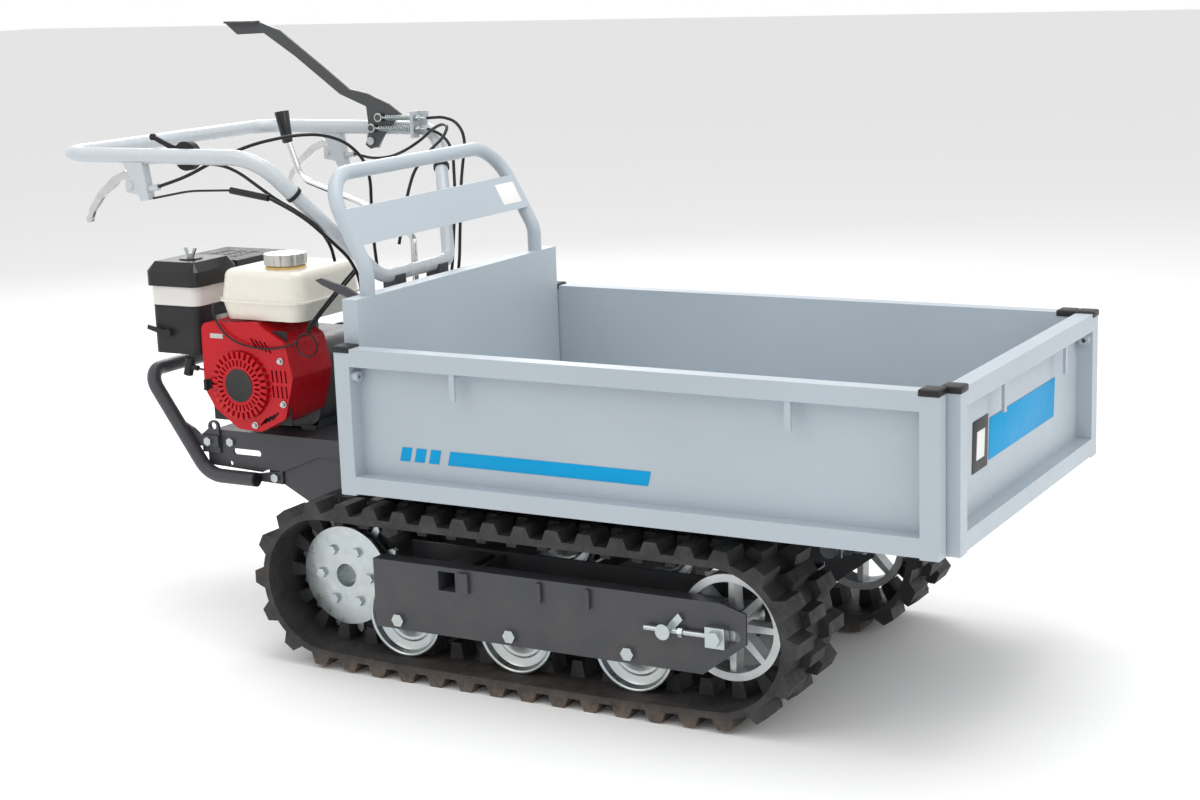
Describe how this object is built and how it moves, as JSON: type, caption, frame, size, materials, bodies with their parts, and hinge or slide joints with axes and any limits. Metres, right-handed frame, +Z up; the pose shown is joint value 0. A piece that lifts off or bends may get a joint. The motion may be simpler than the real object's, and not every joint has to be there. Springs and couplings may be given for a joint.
{
  "type": "power wheelbarrow",
  "caption": "Tracked power wheelbarrow: extendable tipping tray on two rubber tracks, rear engine with belt drive, handlebar with drive, steering and gear levers.",
  "frame": {"origin": "bottom centre of the machine's bounding box, on the ground", "axes": "+X forwards to the tray's gate, +Y to the machine's left, +Z up"},
  "size_m": [1.79, 0.73, 1.1],
  "materials": {
    "track_rubber": "matte, dusty lugs",
    "charcoal_paint": "satin",
    "grey_paint": "semi-gloss light blue-grey",
    "bar_paint": "gloss light grey",
    "zinc": "zinc plated",
    "cast_silver": "as cast",
    "engine_red": "gloss",
    "engine_alloy": "as cast, dark",
    "tank_paint": "gloss cream",
    "cap_metal": "satin, ridged",
    "black_plastic": "matte",
    "black_gloss": "gloss",
    "heat_black": "heat resistant matte",
    "lever_steel": "dark grey, worn edges",
    "chrome_rod": "polished",
    "belt_rubber": "matte",
    "buffer_rubber": "matte",
    "cable_sheath": "satin"
  },
  "bodies": {
    "chassis": {"near_track": "track_rubber", "far_track": "track_rubber", "near_track_frame": "charcoal_paint", "far_track_frame": "charcoal_paint", "track_tensioners": "zinc", "chassis_frame": "charcoal_paint", "gearbox": "engine_alloy", "tray_buffers": "buffer_rubber", "engine_frame": "charcoal_paint", "frame_bolts": "zinc", "bumper": "charcoal_paint", "upper_handlebar": "bar_paint", "lower_handlebar": "bar_paint", "black_fittings": "black_plastic", "lever_brackets": "bar_paint", "clutch_springs": "zinc", "control_cables": "cable_sheath", "engine_block": "engine_alloy", "cylinder_head": "engine_alloy", "fan_cover": "engine_red", "recoil_cover": "engine_red", "fuel_tank": "tank_paint", "air_cleaner_body": "black_plastic", "air_cleaner_cover": "black_gloss", "carburettor": "cast_silver", "muffler": "heat_black", "muffler_guard": "heat_black", "v_belt": "belt_rubber", "belt_cover": "charcoal_paint"},
    "tray": {"tray_subframe": "charcoal_paint", "tray_floor": "grey_paint", "headboard": "grey_paint", "backrest": "grey_paint"},
    "near_side": {"near_side": "grey_paint"},
    "far_side": {"far_side": "grey_paint"},
    "gate": {"gate": "grey_paint"},
    "tray_latch": {"tray_latch": "charcoal_paint"},
    "near_sprocket": {"near_sprocket": "zinc"},
    "far_sprocket": {"far_sprocket": "zinc"},
    "near_idler": {"near_idler": "cast_silver"},
    "far_idler": {"far_idler": "cast_silver"},
    "near_roller_rear": {"near_roller_rear": "zinc"},
    "near_roller_middle": {"near_roller_middle": "zinc"},
    "near_roller_front": {"near_roller_front": "zinc"},
    "far_roller_rear": {"far_roller_rear": "zinc"},
    "far_roller_middle": {"far_roller_middle": "zinc"},
    "far_roller_front": {"far_roller_front": "zinc"},
    "near_steering_lever": {"near_steering_lever": "bar_paint"},
    "far_steering_lever": {"far_steering_lever": "bar_paint"},
    "clutch_lever": {"clutch_lever": "lever_steel"},
    "throttle_lever": {"throttle_lever": "black_plastic"},
    "shift_lever": {"shift_lever": "chrome_rod"},
    "recoil_grip": {"recoil_grip": "black_plastic"},
    "fuel_cap": {"fuel_cap": "cap_metal"},
    "cleaner_nut": {"cleaner_nut": "zinc"},
    "choke_lever": {"choke_lever": "black_plastic"},
    "engine_switch": {"engine_switch": "black_plastic"},
    "crank_pulley": {"crank_pulley": "cast_silver"},
    "gearbox_pulley": {"gearbox_pulley": "cast_silver"},
    "tensioner_arm": {"tensioner_arm": "zinc"}
  },
  "joints": [
    {"name": "tray_tip", "type": "hinge", "parent": "chassis", "child": "tray", "pos_m": [0.597, 0, 0.25], "axis": [0, 1, 0], "range_deg": [0, 55]},
    {"name": "near_side_slide", "type": "slide", "parent": "tray", "child": "near_side", "axis": [0, -1, 0], "range_m": [0, 0.2]},
    {"name": "far_side_slide", "type": "slide", "parent": "tray", "child": "far_side", "axis": [0, 1, 0], "range_m": [0, 0.2]},
    {"name": "gate_slide", "type": "slide", "parent": "tray", "child": "gate", "axis": [1, 0, 0], "range_m": [0, 0.25]},
    {"name": "tray_latch_turn", "type": "hinge", "parent": "tray", "child": "tray_latch", "pos_m": [-0.221, 0, 0.634], "axis": [0, 1, 0], "range_deg": [0, 15]},
    {"name": "near_sprocket_spin", "type": "hinge", "parent": "chassis", "child": "near_sprocket", "pos_m": [-0.254, -0.267, 0.153], "axis": [0, 1, 0], "continuous": true, "deforming": ["near_track"]},
    {"name": "near_idler_spin", "type": "hinge", "parent": "chassis", "child": "near_idler", "pos_m": [0.496, -0.267, 0.153], "axis": [0, 1, 0], "continuous": true},
    {"name": "near_roller_rear_spin", "type": "hinge", "parent": "chassis", "child": "near_roller_rear", "pos_m": [-0.115, -0.267, 0.102], "axis": [0, 1, 0], "continuous": true},
    {"name": "near_roller_middle_spin", "type": "hinge", "parent": "chassis", "child": "near_roller_middle", "pos_m": [0.109, -0.267, 0.102], "axis": [0, 1, 0], "continuous": true},
    {"name": "near_roller_front_spin", "type": "hinge", "parent": "chassis", "child": "near_roller_front", "pos_m": [0.333, -0.267, 0.102], "axis": [0, 1, 0], "continuous": true},
    {"name": "far_sprocket_spin", "type": "hinge", "parent": "chassis", "child": "far_sprocket", "pos_m": [-0.254, 0.267, 0.153], "axis": [0, 1, 0], "continuous": true, "deforming": ["far_track"]},
    {"name": "far_idler_spin", "type": "hinge", "parent": "chassis", "child": "far_idler", "pos_m": [0.496, 0.267, 0.153], "axis": [0, 1, 0], "continuous": true},
    {"name": "far_roller_rear_spin", "type": "hinge", "parent": "chassis", "child": "far_roller_rear", "pos_m": [-0.115, 0.267, 0.102], "axis": [0, 1, 0], "continuous": true},
    {"name": "far_roller_middle_spin", "type": "hinge", "parent": "chassis", "child": "far_roller_middle", "pos_m": [0.109, 0.267, 0.102], "axis": [0, 1, 0], "continuous": true},
    {"name": "far_roller_front_spin", "type": "hinge", "parent": "chassis", "child": "far_roller_front", "pos_m": [0.333, 0.267, 0.102], "axis": [0, 1, 0], "continuous": true},
    {"name": "near_steering_pull", "type": "hinge", "parent": "chassis", "child": "near_steering_lever", "pos_m": [-0.665, -0.297, 0.834], "axis": [0, 1, 0], "range_deg": [0, 22], "stiffness_Nm_per_rad": 5, "springref_deg": -8.59},
    {"name": "far_steering_pull", "type": "hinge", "parent": "chassis", "child": "far_steering_lever", "pos_m": [-0.665, 0.297, 0.834], "axis": [0, 1, 0], "range_deg": [0, 22], "stiffness_Nm_per_rad": 5, "springref_deg": -8.59},
    {"name": "clutch_press", "type": "hinge", "parent": "chassis", "child": "clutch_lever", "pos_m": [-0.545, 0.273, 0.861], "axis": [0, -1, 0], "range_deg": [0, 22], "stiffness_Nm_per_rad": 12, "springref_deg": -20.05, "deforming": ["clutch_springs"]},
    {"name": "tensioner_swing", "type": "hinge", "parent": "chassis", "child": "tensioner_arm", "pos_m": [-0.403, 0.146, 0.395], "axis": [0, 1, 0], "range_deg": [0, 4.5]},
    {"name": "shift_turn", "type": "hinge", "parent": "chassis", "child": "shift_lever", "pos_m": [-0.297, 0.038, 0.213], "axis": [0, 0, 1], "range_deg": [-12, 12]},
    {"name": "throttle_turn", "type": "hinge", "parent": "chassis", "child": "throttle_lever", "pos_m": [-0.555, -0.267, 0.886], "axis": [0, 1, 0], "range_deg": [-18, 32]},
    {"name": "recoil_pull", "type": "slide", "parent": "chassis", "child": "recoil_grip", "axis": [-0.3491, -0.8479, 0.399], "range_m": [0, 0.45], "stiffness_N_per_m": 25, "springref_m": -0.2},
    {"name": "fuel_cap_turn", "type": "hinge", "parent": "chassis", "child": "fuel_cap", "pos_m": [-0.476, -0.118, 0.68], "axis": [0, 0, 1], "range_deg": [0, 90]},
    {"name": "cleaner_nut_turn", "type": "hinge", "parent": "chassis", "child": "cleaner_nut", "pos_m": [-0.707, -0.108, 0.68], "axis": [0, 0, 1], "continuous": true},
    {"name": "choke_turn", "type": "hinge", "parent": "chassis", "child": "choke_lever", "pos_m": [-0.721, -0.171, 0.54], "axis": [0, 1, 0], "range_deg": [-30, 30]},
    {"name": "switch_turn", "type": "hinge", "parent": "chassis", "child": "engine_switch", "pos_m": [-0.614, -0.19, 0.454], "axis": [0, 1, 0], "range_deg": [0, 60]},
    {"name": "crank_spin", "type": "hinge", "parent": "chassis", "child": "crank_pulley", "pos_m": [-0.539, 0.146, 0.457], "axis": [0, 1, 0], "continuous": true},
    {"name": "gearbox_shaft_spin", "type": "hinge", "parent": "chassis", "child": "gearbox_pulley", "pos_m": [-0.346, 0.146, 0.165], "axis": [0, 1, 0], "continuous": true}
  ],
  "couplings": [
    {"joint": "near_idler_spin", "follows": "near_sprocket_spin", "ratio": 1},
    {"joint": "near_roller_rear_spin", "follows": "near_sprocket_spin", "ratio": 1.6408},
    {"joint": "near_roller_middle_spin", "follows": "near_sprocket_spin", "ratio": 1.6408},
    {"joint": "near_roller_front_spin", "follows": "near_sprocket_spin", "ratio": 1.6408},
    {"joint": "far_idler_spin", "follows": "far_sprocket_spin", "ratio": 1},
    {"joint": "far_roller_rear_spin", "follows": "far_sprocket_spin", "ratio": 1.6408},
    {"joint": "far_roller_middle_spin", "follows": "far_sprocket_spin", "ratio": 1.6408},
    {"joint": "far_roller_front_spin", "follows": "far_sprocket_spin", "ratio": 1.6408},
    {"joint": "tensioner_swing", "follows": "clutch_press", "ratio": 0.2},
    {"joint": "gearbox_shaft_spin", "follows": "crank_spin", "ratio": 0.7308}
  ]
}
